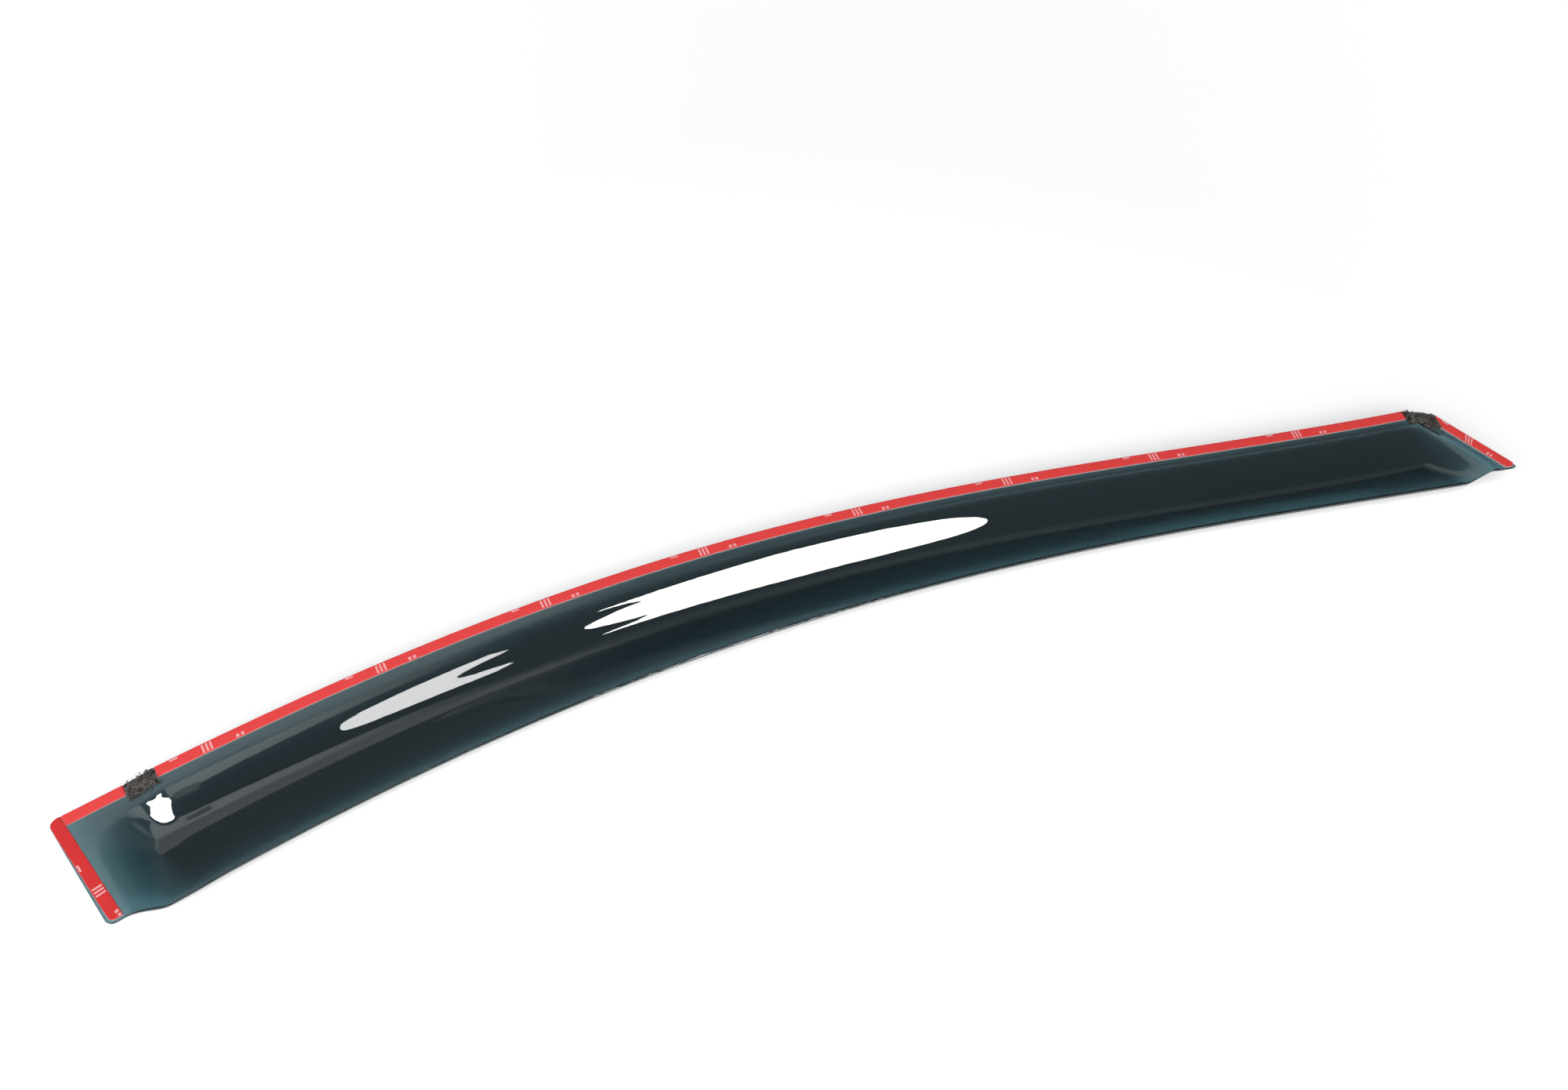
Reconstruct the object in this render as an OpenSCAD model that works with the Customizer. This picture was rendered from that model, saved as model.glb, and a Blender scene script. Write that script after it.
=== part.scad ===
// Window rain deflector for a front side window, lying with its inner side up.
// X runs along the window, from the blunt front end to the pointed rear end.
// Y points to the roof and Z from the outer face to the taped flange.
// The top of Z is the taped side, which is pressed onto the window frame.
// Plan positions use s, the distance from the top edge, and e, the distance
// from the front or the rear end edge.

/* [Outline] */
// Distance between the front top corner and the rear tip
visor_length = 963; // [800:1:1100]
// How far the top edge bows up a quarter of the way along
top_bow_front = 62; // [54:0.5:70]
// How far the top edge bows up at mid length
top_bow_mid = 86; // [78:0.5:94]
// How far the top edge bows up three quarters of the way along
top_bow_rear = 76; // [70:0.5:84]
// Plan width of the visor a quarter of the way along
width_front = 73.5; // [66:0.5:82]
// Plan width of the visor at mid length
width_mid = 65.5; // [59:0.5:75]
// Plan width of the visor three quarters of the way along
width_rear = 57.5; // [53:0.5:67]
// Length of the blunt front end edge
front_end_length = 77; // [72:0.2:84]
// Lean of the front end edge, from square across towards the rear
front_end_lean = 25.2; // [22:0.2:30]
// Length of the slanted rear end edge
rear_end_length = 72.5; // [68:0.5:78]
// Lean of the rear end edge, from square across towards the front
rear_end_lean = 29.7; // [26:0.2:33]
// Radius of the two front corners
front_corner_r = 4.5; // [2:0.5:6]
// Radius of the rear top corner
rear_corner_r = 10; // [4:0.5:12]
// Radius of the rear tip
tip_r = 3; // [2:0.5:4]

/* [Section] */
// Thickness of the tinted sheet
sheet = 2.4; // [2:0.1:3]
// Height of the flange's upper face over the lowest point of the channel floor
flange_height = 24; // [20:0.5:28]
// Width of the level flange along the top edge
flange_width = 12; // [10:0.5:14]
// Plan width of the sloping wall between the flange and the channel floor
wall_run = 25; // [22:0.5:28]
// Plan distance from the flange to the line where the wall is steepest
wall_steep_at = 11.5; // [9:0.5:14]
// Height of the free edge over the channel floor at the front end
lip_rise_front = 9; // [6:0.5:13]
// Height of the free edge over the channel floor at mid length
lip_rise_mid = 12; // [7:0.5:14]
// Height of the free edge over the channel floor at the rear end
lip_rise_rear = 11; // [7:0.5:14]
// Width over which the floor rounds into the lip
crease_blend = 5; // [3:0.5:8]

/* [Ends] */
// Width of the level flange along the front end edge
front_flange = 9; // [8.5:0.5:11]
// Distance from the front end edge to the foot of the ramp, beside the top flange
front_foot_top = 48; // [38:0.5:56]
// Distance from the front end edge to the foot of the ramp, at the free edge
front_foot_low = 30; // [26:0.5:40]
// Width of the level flange along the rear end edge
rear_flange = 8.5; // [8:0.5:11]
// Distance from the rear end edge to the foot of the ramp, beside the top flange
rear_foot_top = 26; // [24:0.5:36]
// Distance from the rear end edge to the foot of the ramp, at the free edge
rear_foot_low = 29; // [24:0.5:36]
// How far the front end flange lies below the main flange
front_step = 2.5; // [1:0.1:4]
// How far the rear end flange lies below the main flange
rear_step = 3; // [1:0.1:3.5]
// Distance from the front end edge to the start of the step in the top flange
front_step_at = 43; // [38:0.5:50]
// Length of the front step
front_step_length = 18; // [14:0.5:24]
// Length of the rear step, which begins at the inner side of the rear flange
rear_step_length = 8.5; // [7.5:0.5:12]

/* [Tape] */
// Width of every run of tape
tape_width = 7.3; // [6:0.1:8]
// Thickness of the foam core of the tape
tape_thick = 1; // [0.8:0.1:1.6]
// Thickness of the release liner on the tape
liner_thick = 0.2; // [0.1:0.05:0.4]
// Margin between the edge of the sheet and the tape
tape_margin = 0.4; // [0.2:0.1:1]
// Extra margin of the front end tape at the lower corner
front_margin_gain = 1.8; // [0:0.1:2.2]
// Gap between the end of a tape and its neighbour
tape_gap = 0.3; // [0.2:0.1:1]
// Gap between the front end tape and the free edge
front_low_gap = 1; // [0.4:0.1:3]
// Gap between the rear end tape and the free edge
rear_low_gap = 0.6; // [0.4:0.1:3]
// Distance from the rear top corner to the outer start of the rear end tape
rear_run_start = 8; // [7:0.5:12]
// How much later along the end the inner side of that tape starts
rear_run_slant = 9; // [5:0.5:12]

/* [Foam pads] */
// Thickness of the two foam pads over the steps
pad_thick = 1.9; // [1.4:0.1:2.5]
// Width of the front foam pad
front_pad_width = 11; // [9.5:0.5:12]
// Width of the rear foam pad
rear_pad_width = 12; // [10:0.5:13]
// Length of each of the two legs of the rear pad, on its inner side
rear_pad_leg = 8; // [6:0.5:10]
// Clearance under the pads
pad_clear = 0.1; // [0.05:0.05:0.3]

/* [Hidden] */

SMOKE = [0.16, 0.24, 0.27];
CORE_GREY = [0.72, 0.72, 0.72];
LINER_RED = [0.90, 0.28, 0.26];
FOAM_BLACK = [0.10, 0.09, 0.09];

function clamp01(t) = min(max(t, 0), 1);
function ease(t) = let(c = clamp01(t)) c * c * (3 - 2 * c);
function lerp(a, b, t) = a + (b - a) * t;
function spread(a, b, n) = [for (i = [1:n]) lerp(a, b, i / n)];
function unit(v) = v / norm(v);

// Smooth curve through the points (xs[i], ys[i]), by divided differences
function divided(xs, ys, i, j) =
    i == j ? ys[i]
    : (divided(xs, ys, i + 1, j) - divided(xs, ys, i, j - 1)) / (xs[j] - xs[i]);
function curve(xs, ys) = [for (j = [0:len(xs) - 1]) divided(xs, ys, 0, j)];
function on_curve(xs, c, x, i = 0) =
    i == len(xs) - 1 ? c[i] : c[i] + (x - xs[i]) * on_curve(xs, c, x, i + 1);

// The four corners before rounding, with the line between the end corners on y = 0
half = visor_length / 2;
quarter = visor_length / 4;
FRONT_TOP = [-half, 0];
FRONT_LOW = FRONT_TOP + front_end_length * [sin(front_end_lean), -cos(front_end_lean)];
REAR_TIP = [half, 0];
REAR_TOP = REAR_TIP + rear_end_length * [-sin(rear_end_lean), cos(rear_end_lean)];

// Top edge and free edge as smooth curves over x
TOP_X = [FRONT_TOP[0], -quarter, 0, quarter, REAR_TOP[0]];
TOP_Y = [FRONT_TOP[1], top_bow_front, top_bow_mid, top_bow_rear, REAR_TOP[1]];
FREE_X = [FRONT_LOW[0], -quarter, 0, quarter, REAR_TIP[0]];
FREE_Y = [
    FRONT_LOW[1], top_bow_front - width_front, top_bow_mid - width_mid,
    top_bow_rear - width_rear, REAR_TIP[1]
];
TOP_CURVE = curve(TOP_X, TOP_Y);
FREE_CURVE = curve(FREE_X, FREE_Y);
function top_y(x) = on_curve(TOP_X, TOP_CURVE, x);
function free_y(x) = on_curve(FREE_X, FREE_CURVE, x);
function top_angle(x) = atan2(top_y(x + 0.5) - top_y(x - 0.5), 1);
function free_angle(x) = atan2(free_y(x + 0.5) - free_y(x - 0.5), 1);

// Distances of a plan point from the edges
FRONT_IN = [cos(front_end_lean), sin(front_end_lean)];
REAR_IN = [-cos(rear_end_lean), -sin(rear_end_lean)];
function from_top(p) = (top_y(p[0]) - p[1]) * cos(top_angle(p[0]));
function from_free(p) = (p[1] - free_y(p[0])) * cos(free_angle(p[0]));
function from_front(p) = (p - FRONT_TOP) * FRONT_IN;
function from_rear(p) = (p - REAR_TOP) * REAR_IN;
// A plan point at distance s from the top edge, level with the edge point at x
function off_top(x, s) =
    [x, top_y(x)] + s * [sin(top_angle(x)), -cos(top_angle(x))];
// A plan point at distance d from the free edge, level with the edge point at x
function off_free(x, d) =
    [x, free_y(x)] + d * [-sin(free_angle(x)), cos(free_angle(x))];
// The x at which a point beside the top or the free edge is e from an end edge
function top_x_front(e, s, x = FRONT_TOP[0], n = 10) =
    n == 0 ? x : top_x_front(e, s, x + e - from_front(off_top(x, s)), n - 1);
function top_x_rear(e, s, x = REAR_TOP[0], n = 10) =
    n == 0 ? x : top_x_rear(e, s, x - e + from_rear(off_top(x, s)), n - 1);
function free_x_front(e, d, x = FRONT_LOW[0], n = 10) =
    n == 0 ? x : free_x_front(e, d, x + e - from_front(off_free(x, d)), n - 1);
function free_x_rear(e, d, x = REAR_TIP[0], n = 10) =
    n == 0 ? x : free_x_rear(e, d, x - e + from_rear(off_free(x, d)), n - 1);

// Wall section: an S-curve from the flange down to the channel floor.
// wall_fall(d) is the drop at plan distance d from the inner edge of the flange.
wall_power = wall_run / wall_steep_at;
function wall_fall(d) = let(t = clamp01(d / wall_run))
    flange_height * (1 - pow(1 - t, wall_power) * (1 + wall_power * t));

// Level of the flange, lower at both ends
function flange_level(p) = flange_height
    - front_step * (1 - ease((from_front(p) - front_step_at) / front_step_length))
    - rear_step * (1 - ease((from_rear(p) - rear_flange) / rear_step_length));

// The lip rises from the floor line to the free edge
floor_line = flange_width + wall_run;
LIP_X = [-half, 0, half];
LIP_CURVE = curve(LIP_X, [lip_rise_front, lip_rise_mid, lip_rise_rear]);
function lip_edge_rise(x) = on_curve(LIP_X, LIP_CURVE, x);
function lip_level(p) = let(
    s = from_top(p) - floor_line,
    q = s / (s + from_free(p))
) lip_edge_rise(p[0]) * q;

function round_max(a, b, k) = let(h = max(k - abs(a - b), 0) / k)
    max(a, b) + h * h * k / 4;
// Height of the full section over the floor, away from the ends
function section_level(p) = round_max(
    flange_height - wall_fall(from_top(p) - flange_width), lip_level(p), crease_blend
);

// Ramps: nothing of the section's depth at the end flanges, all of it past the foot
RAMP_BEND = 0.5;
FOOT_BEND = 0.3;
ramp_slope = 1 / (1 - RAMP_BEND / 2 - FOOT_BEND / 2);
function ramp(t) =
    t <= 0 ? 0
    : t < RAMP_BEND ? ramp_slope * t * t / (2 * RAMP_BEND)
    : t < 1 - FOOT_BEND ? ramp_slope * (t - RAMP_BEND / 2)
    : t < 1 ? 1 - ramp_slope * (1 - t) * (1 - t) / (2 * FOOT_BEND)
    : 1;
function across(p) = let(s = from_top(p)) s / (s + from_free(p));
function front_depth(p) = ramp((from_front(p) - front_flange)
    / (lerp(front_foot_top, front_foot_low, across(p)) - front_flange));
function rear_depth(p) = ramp((from_rear(p) - rear_flange)
    / (lerp(rear_foot_top, rear_foot_low, across(p)) - rear_flange));
function inner_level(p) = let(
    depth = front_depth(p) * rear_depth(p) * (flange_height - section_level(p))
) flange_level(p) * (1 - depth / flange_height);

// Unit normal of the inner face at a plan point
probe = 0.3;
function inner_normal(p) = unit([
    inner_level(p - [probe, 0]) - inner_level(p + [probe, 0]),
    inner_level(p - [0, probe]) - inner_level(p + [0, probe]),
    2 * probe
]);
function inner_point(p) = [p[0], p[1], inner_level(p)];
function outer_point(p) = inner_point(p) - sheet * inner_normal(p);

// Stations along the visor, as distances from the front end edge and then the rear
function top_at(w) = let(x = lerp(FRONT_TOP[0], REAR_TOP[0], w)) [x, top_y(x)];
function free_at(w) = let(x = lerp(FRONT_LOW[0], REAR_TIP[0], w)) [x, free_y(x)];
front_rate = from_front(top_at(0.01)) / 0.01;
rear_rate = from_rear(top_at(0.99)) / 0.01;
front_zone_end = front_step_at + front_step_length;
rear_zone_end = max(rear_foot_top, rear_foot_low) + 2;
FRONT_STATIONS = concat(
    [0], spread(0, front_corner_r, 3), [front_flange],
    spread(front_flange, front_step_at, 14), spread(front_step_at, front_zone_end, 6)
) / front_rate;
REAR_STATIONS = concat(
    [0], spread(0, tip_r, 2), spread(tip_r, rear_corner_r, 3),
    spread(rear_corner_r, rear_zone_end, 11)
) / rear_rate;
MIDDLE_STATIONS = 42;
front_last = FRONT_STATIONS[len(FRONT_STATIONS) - 1];
rear_last = REAR_STATIONS[len(REAR_STATIONS) - 1];
STATIONS = concat(
    FRONT_STATIONS,
    spread(front_last, 1 - rear_last, MIDDLE_STATIONS),
    [for (i = [len(REAR_STATIONS) - 2:-1:0]) 1 - REAR_STATIONS[i]]
);

// Rows across the visor: the flange, the wall, then the lip as shares of what is left
WALL_ROWS = concat(
    [0], spread(0, min(front_corner_r, rear_corner_r), 2),
    spread(min(front_corner_r, rear_corner_r), flange_width, 3),
    spread(flange_width, floor_line, 10)
);
low_corner = max(front_corner_r, tip_r);
LIP_ROWS = 7;
EDGE_ROWS = 3;
function rows_at(depth) = concat(
    WALL_ROWS, spread(floor_line, depth - low_corner, LIP_ROWS),
    spread(depth - low_corner, depth, EDGE_ROWS)
) / depth;

// A share pair near a corner is moved onto the corner's arc
function rounded_pair(a, b) = let(p = 1 - a, q = 1 - b)
    [1 - p * sqrt(1 - q * q / 2), 1 - q * sqrt(1 - p * p / 2)];
function at_corner(w, v, rw, rv) = w < rw && v < rv
    ? let(m = rounded_pair(w / rw, v / rv)) [m[0] * rw, m[1] * rv] : [w, v];
function plan_point(w, v) = let(
    depth = norm(free_at(w) - top_at(w)),
    near_front = w < 0.5,
    near_top = v < 0.5,
    r = near_front ? front_corner_r : (near_top ? rear_corner_r : tip_r),
    a = near_front ? w : 1 - w,
    b = near_top ? v : 1 - v,
    m = at_corner(a, b, r / (near_front ? front_rate : rear_rate), r / depth),
    w2 = near_front ? m[0] : 1 - m[0],
    v2 = near_top ? m[1] : 1 - m[1]
) lerp(top_at(w2), free_at(w2), v2);

PLAN = [for (w = STATIONS)
    let(depth = norm(free_at(w) - top_at(w)))
    [for (v = rows_at(depth)) plan_point(w, v)]];
INNER = [for (station = PLAN) [for (p = station) inner_point(p)]];
OUTER = [for (station = PLAN) [for (p = station) outer_point(p)]];

// The finished part stands with its lowest point on z = 0 and centred in x and y
function flat(rows) = [for (r = rows) each r];
function lowest(points, axis) = min([for (p = points) p[axis]]);
function highest(points, axis) = max([for (p = points) p[axis]]);
ALL_POINTS = concat(flat(INNER), flat(OUTER));
SHIFT = [
    -(lowest(ALL_POINTS, 0) + highest(ALL_POINTS, 0)) / 2,
    -(lowest(ALL_POINTS, 1) + highest(ALL_POINTS, 1)) / 2,
    -lowest(ALL_POINTS, 2)
];

// Closed solid between two grids of points with the same rows and columns
module grid_solid(upper, lower) {
    rows = len(upper);
    cols = len(upper[0]);
    count = rows * cols;
    function id(i, j) = i * cols + j;
    top_faces = [for (i = [0:rows - 2], j = [0:cols - 2]) each [
        [id(i, j), id(i + 1, j), id(i + 1, j + 1)],
        [id(i, j), id(i + 1, j + 1), id(i, j + 1)]
    ]];
    under_faces = [for (f = top_faces) [f[2] + count, f[1] + count, f[0] + count]];
    rim = concat(
        [for (j = [0:cols - 2]) id(0, j)],
        [for (i = [0:rows - 2]) id(i, cols - 1)],
        [for (j = [cols - 1:-1:1]) id(rows - 1, j)],
        [for (i = [rows - 1:-1:1]) id(i, 0)]
    );
    rim_faces = [for (k = [0:len(rim) - 1])
        let(a = rim[k], b = rim[(k + 1) % len(rim)])
        each [[a, b, b + count], [a, b + count, a + count]]];
    polyhedron(concat(flat(upper), flat(lower)), concat(top_faces, under_faces, rim_faces));
}

// Tape runs: the foam core lies on the flange and the liner on the core
main_start_x = top_x_front(front_zone_end + tape_gap, 0);
main_end_x = top_x_rear(rear_flange + rear_step_length + tape_gap, 0);
front_run_end_x = top_x_front(front_step_at - tape_gap, 0);
TAPE_OUT = tape_margin;
TAPE_IN = tape_margin + tape_width;
TAPE_STEPS = 56;
ARC_STEPS = 5;

// Strip between two distances from the top edge, with its own x range on each side
function strip(out_from, out_to, in_from, in_to, steps) = concat(
    [for (i = [0:steps]) off_top(lerp(out_from, out_to, i / steps), TAPE_OUT)],
    [for (i = [steps:-1:0]) off_top(lerp(in_from, in_to, i / steps), TAPE_IN)]
);

// Arc that rounds the corner at c between its neighbours a and b
function corner_arc(a, c, b, r) = let(
    ua = unit(a - c),
    ub = unit(b - c),
    half_angle = acos(ua * ub) / 2,
    reach = r / tan(half_angle),
    centre = c + unit(ua + ub) * r / sin(half_angle),
    from = c + ua * reach - centre,
    to = c + ub * reach - centre,
    turn = 180 - 2 * half_angle,
    side = from[0] * to[1] - from[1] * to[0] > 0 ? 1 : -1
) [for (i = [0:ARC_STEPS]) let(t = side * turn * i / ARC_STEPS)
    centre + [from[0] * cos(t) - from[1] * sin(t), from[0] * sin(t) + from[1] * cos(t)]];

function main_outline() = strip(main_start_x, main_end_x, main_start_x, main_end_x, TAPE_STEPS);
function front_run_outline() = let(e = TAPE_IN + tape_gap) strip(
    top_x_front(e, TAPE_OUT), front_run_end_x,
    top_x_front(e, TAPE_IN), front_run_end_x, 6
);

// The front end run reaches from the top edge to just short of the free edge
function front_end_outline() = let(
    low_e = TAPE_OUT + front_margin_gain,
    a = off_top(top_x_front(TAPE_OUT, TAPE_OUT), TAPE_OUT),
    b = off_top(top_x_front(TAPE_IN, TAPE_OUT), TAPE_OUT),
    c = off_free(free_x_front(low_e + tape_width, front_low_gap), front_low_gap),
    d = off_free(free_x_front(low_e, front_low_gap), front_low_gap)
) concat(
    corner_arc(d, a, b, front_corner_r - tape_margin / 2), [b, c],
    corner_arc(c, d, a, front_corner_r - front_low_gap)
);

// The rear end run starts at the rear pad with a slanted cut and reaches the tip
REAR_DOWN = [sin(rear_end_lean), -cos(rear_end_lean)];
function rear_at(q, e) = REAR_TOP + q * REAR_DOWN + e * REAR_IN;
function rear_end_outline() = let(
    a = rear_at(rear_run_start, TAPE_OUT),
    b = off_free(free_x_rear(TAPE_OUT, rear_low_gap), rear_low_gap),
    c = off_free(free_x_rear(TAPE_IN, rear_low_gap), rear_low_gap),
    d = rear_at(rear_run_start + rear_run_slant, TAPE_IN)
) concat([d, a], corner_arc(a, b, c, tip_r - tape_margin), [c]);

module run(outline, z, thick) {
    translate([0, 0, z]) linear_extrude(thick) polygon(outline);
}
main_z = flange_height;
front_z = flange_height - front_step;
rear_z = flange_height - rear_step;

// Foam pads: soft strips that follow the stepped flange, thinner along their rims
PAD_ACROSS = 6;
PAD_STEPS = 10;
RIM_SHARE = 0.62;
function pad_rise(i, n, j) = let(
    on_rim = i == 0 || i == n || j == 0 || j == PAD_ACROSS
) pad_thick * (on_rim ? RIM_SHARE : 1);
module pad(outer_side, inner_side) {
    n = len(outer_side) - 1;
    plan = [for (i = [0:n]) [for (j = [0:PAD_ACROSS])
        lerp(outer_side[i], inner_side[i], j / PAD_ACROSS)]];
    under = [for (row = plan) [for (p = row) inner_point(p) + [0, 0, pad_clear]]];
    over = [for (i = [0:n]) [for (j = [0:PAD_ACROSS])
        under[i][j] + [0, 0, pad_rise(i, n, j)]]];
    grid_solid(over, under);
}

pad_start_x = top_x_front(front_step_at, 0);
pad_end_x = main_start_x - tape_gap;
function front_pad_side(s) = [for (i = [0:PAD_STEPS])
    off_top(lerp(pad_start_x, pad_end_x, i / PAD_STEPS), s)];
FRONT_PAD_OUT = front_pad_side(tape_margin);
FRONT_PAD_IN = front_pad_side(tape_margin + front_pad_width);

// The rear pad runs along the top edge, round the corner and a little down the end
rear_pad_x = main_end_x + tape_gap;
rear_pad_turn_x = top_x_rear(rear_corner_r, tape_margin);
rear_pad_corner = rear_at(rear_run_start - tape_gap, TAPE_OUT);
rear_pad_low_out = rear_at(rear_run_start + rear_run_slant - tape_gap, TAPE_IN);
rear_pad_knee = off_top(rear_pad_x + rear_pad_leg, tape_margin + rear_pad_width);
rear_pad_low_in = rear_pad_knee + rear_pad_leg * REAR_DOWN;
HALF_PAD = PAD_STEPS / 2;
function between(a, b, n) = [for (i = [0:n]) lerp(a, b, i / n)];
REAR_PAD_OUT = concat(
    [for (x = between(rear_pad_x, rear_pad_turn_x, HALF_PAD)) off_top(x, tape_margin)],
    between(rear_pad_corner, rear_pad_low_out, HALF_PAD)
);
REAR_PAD_IN = concat(
    between(off_top(rear_pad_x, tape_margin + rear_pad_width), rear_pad_knee, HALF_PAD),
    between(rear_pad_knee, rear_pad_low_in, HALF_PAD)
);

// Everything is shifted so that the part stands on z = 0, centred in x and y
module placed() {
    translate(SHIFT) children();
}

module visor_shell() {
    color(SMOKE, 0.85) placed() grid_solid(INNER, OUTER);
}
module front_foam_pad() {
    color(FOAM_BLACK) placed() pad(FRONT_PAD_OUT, FRONT_PAD_IN);
}
module rear_foam_pad() {
    color(FOAM_BLACK) placed() pad(REAR_PAD_OUT, REAR_PAD_IN);
}
module tape_top_main() {
    color(CORE_GREY) placed() run(main_outline(), main_z, tape_thick);
}
module tape_top_front() {
    color(CORE_GREY) placed() run(front_run_outline(), front_z, tape_thick);
}
module tape_front_end() {
    color(CORE_GREY) placed() run(front_end_outline(), front_z, tape_thick);
}
module tape_rear_end() {
    color(CORE_GREY) placed() run(rear_end_outline(), rear_z, tape_thick);
}
module liner_top_main() {
    color(LINER_RED) placed() run(main_outline(), main_z + tape_thick, liner_thick);
}
module liner_top_front() {
    color(LINER_RED) placed() run(front_run_outline(), front_z + tape_thick, liner_thick);
}
module liner_front_end() {
    color(LINER_RED) placed() run(front_end_outline(), front_z + tape_thick, liner_thick);
}
module liner_rear_end() {
    color(LINER_RED) placed() run(rear_end_outline(), rear_z + tape_thick, liner_thick);
}

visor_shell();
front_foam_pad();
rear_foam_pad();
tape_top_main();
tape_top_front();
tape_front_end();
tape_rear_end();
liner_top_main();
liner_top_front();
liner_front_end();
liner_rear_end();
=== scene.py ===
"""Looks of the window rain deflector: smoked sheet, taped flanges and foam pads."""

import math
import random

import bpy
import numpy as np
from mathutils import Matrix, Vector, noise


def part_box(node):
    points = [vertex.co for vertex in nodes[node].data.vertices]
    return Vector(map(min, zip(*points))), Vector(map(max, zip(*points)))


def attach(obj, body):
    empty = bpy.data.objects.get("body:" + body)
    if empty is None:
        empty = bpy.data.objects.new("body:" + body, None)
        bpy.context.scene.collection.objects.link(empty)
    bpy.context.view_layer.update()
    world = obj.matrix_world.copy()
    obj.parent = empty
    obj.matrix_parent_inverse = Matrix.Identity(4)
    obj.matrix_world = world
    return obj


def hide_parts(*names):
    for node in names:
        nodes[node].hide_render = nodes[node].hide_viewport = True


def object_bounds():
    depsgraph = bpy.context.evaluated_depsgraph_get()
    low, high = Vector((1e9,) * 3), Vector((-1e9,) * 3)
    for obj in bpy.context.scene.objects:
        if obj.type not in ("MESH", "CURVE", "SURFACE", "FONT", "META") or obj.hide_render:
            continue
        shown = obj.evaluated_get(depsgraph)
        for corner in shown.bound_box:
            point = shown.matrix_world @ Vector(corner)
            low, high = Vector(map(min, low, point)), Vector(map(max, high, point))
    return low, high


MM = 0.001

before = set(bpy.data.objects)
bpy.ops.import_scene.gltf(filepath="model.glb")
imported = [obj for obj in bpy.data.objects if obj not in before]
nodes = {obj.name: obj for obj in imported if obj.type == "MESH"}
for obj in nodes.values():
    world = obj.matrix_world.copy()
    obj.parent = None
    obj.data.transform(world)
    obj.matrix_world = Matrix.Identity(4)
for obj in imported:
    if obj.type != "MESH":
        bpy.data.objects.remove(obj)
cad_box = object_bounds()

# Form of the sheet, in metres: the same named sizes and formula as the solid has.
# Plan positions are (x, y); s is a distance from the top edge, e from an end edge.
LENGTH = 963 * MM
TOP_BOW = [62 * MM, 86 * MM, 76 * MM]
WIDTH = [73.5 * MM, 65.5 * MM, 57.5 * MM]
FRONT_END_LENGTH, FRONT_END_LEAN = 77 * MM, math.radians(25.2)
REAR_END_LENGTH, REAR_END_LEAN = 72.5 * MM, math.radians(29.7)
FRONT_CORNER_R, REAR_CORNER_R, TIP_R = 4.5 * MM, 10 * MM, 3 * MM
SHEET = 2.4 * MM
FLANGE_HEIGHT, FLANGE_WIDTH = 24 * MM, 12 * MM
WALL_RUN, WALL_STEEP_AT = 25 * MM, 11.5 * MM
LIP_RISE = [9 * MM, 12 * MM, 11 * MM]
CREASE_BLEND = 5 * MM
FRONT_FLANGE, FRONT_FOOT_TOP, FRONT_FOOT_LOW = 9 * MM, 48 * MM, 30 * MM
REAR_FLANGE, REAR_FOOT_TOP, REAR_FOOT_LOW = 8.5 * MM, 26 * MM, 29 * MM
FRONT_STEP, FRONT_STEP_AT, FRONT_STEP_LENGTH = 2.5 * MM, 43 * MM, 18 * MM
REAR_STEP, REAR_STEP_LENGTH = 3 * MM, 8.5 * MM
RAMP_BEND, FOOT_BEND = 0.5, 0.3
EDGE_ROUND = 0.9 * MM

# Tape runs and pads on the flanges
TAPE_WIDTH, TAPE_MARGIN, TAPE_GAP = 7.3 * MM, 0.4 * MM, 0.3 * MM
TAPE_OUT, TAPE_IN = TAPE_MARGIN, TAPE_MARGIN + TAPE_WIDTH
FRONT_MARGIN_GAIN = 1.8 * MM
FRONT_LOW_GAP, REAR_LOW_GAP = 1 * MM, 0.6 * MM
REAR_RUN_START, REAR_RUN_SLANT = 8 * MM, 9 * MM
PAD_THICK, PAD_CLEAR = 1.9 * MM, 0.1 * MM
FRONT_PAD_WIDTH, REAR_PAD_WIDTH, REAR_PAD_LEG = 11 * MM, 12 * MM, 8 * MM


def ease(t):
    c = np.clip(t, 0, 1)
    return c * c * (3 - 2 * c)


def curve_through(xs, ys):
    """The smooth curve of lowest degree through the points."""
    coefficients = np.polyfit(xs, ys, len(xs) - 1)
    return lambda x: np.polyval(coefficients, x)


half, quarter = LENGTH / 2, LENGTH / 4
FRONT_DOWN = np.array([math.sin(FRONT_END_LEAN), -math.cos(FRONT_END_LEAN)])
REAR_DOWN = np.array([math.sin(REAR_END_LEAN), -math.cos(REAR_END_LEAN)])
FRONT_IN = np.array([math.cos(FRONT_END_LEAN), math.sin(FRONT_END_LEAN)])
REAR_IN = -np.array([math.cos(REAR_END_LEAN), math.sin(REAR_END_LEAN)])
FRONT_TOP = np.array([-half, 0.0])
FRONT_LOW = FRONT_TOP + FRONT_END_LENGTH * FRONT_DOWN
REAR_TIP = np.array([half, 0.0])
REAR_TOP = REAR_TIP - REAR_END_LENGTH * REAR_DOWN
top_y = curve_through(
    [FRONT_TOP[0], -quarter, 0, quarter, REAR_TOP[0]],
    [FRONT_TOP[1], *TOP_BOW, REAR_TOP[1]],
)
free_y = curve_through(
    [FRONT_LOW[0], -quarter, 0, quarter, REAR_TIP[0]],
    [FRONT_LOW[1], *[b - w for b, w in zip(TOP_BOW, WIDTH)], REAR_TIP[1]],
)
lip_edge_rise = curve_through([-half, 0, half], LIP_RISE)


def angle_of(edge, x):
    step = 0.5 * MM
    return np.arctan2(edge(x + step) - edge(x - step), 2 * step)


def from_top(x, y):
    return (top_y(x) - y) * np.cos(angle_of(top_y, x))


def from_free(x, y):
    return (y - free_y(x)) * np.cos(angle_of(free_y, x))


def from_front(x, y):
    return (x - FRONT_TOP[0]) * FRONT_IN[0] + (y - FRONT_TOP[1]) * FRONT_IN[1]


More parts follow.
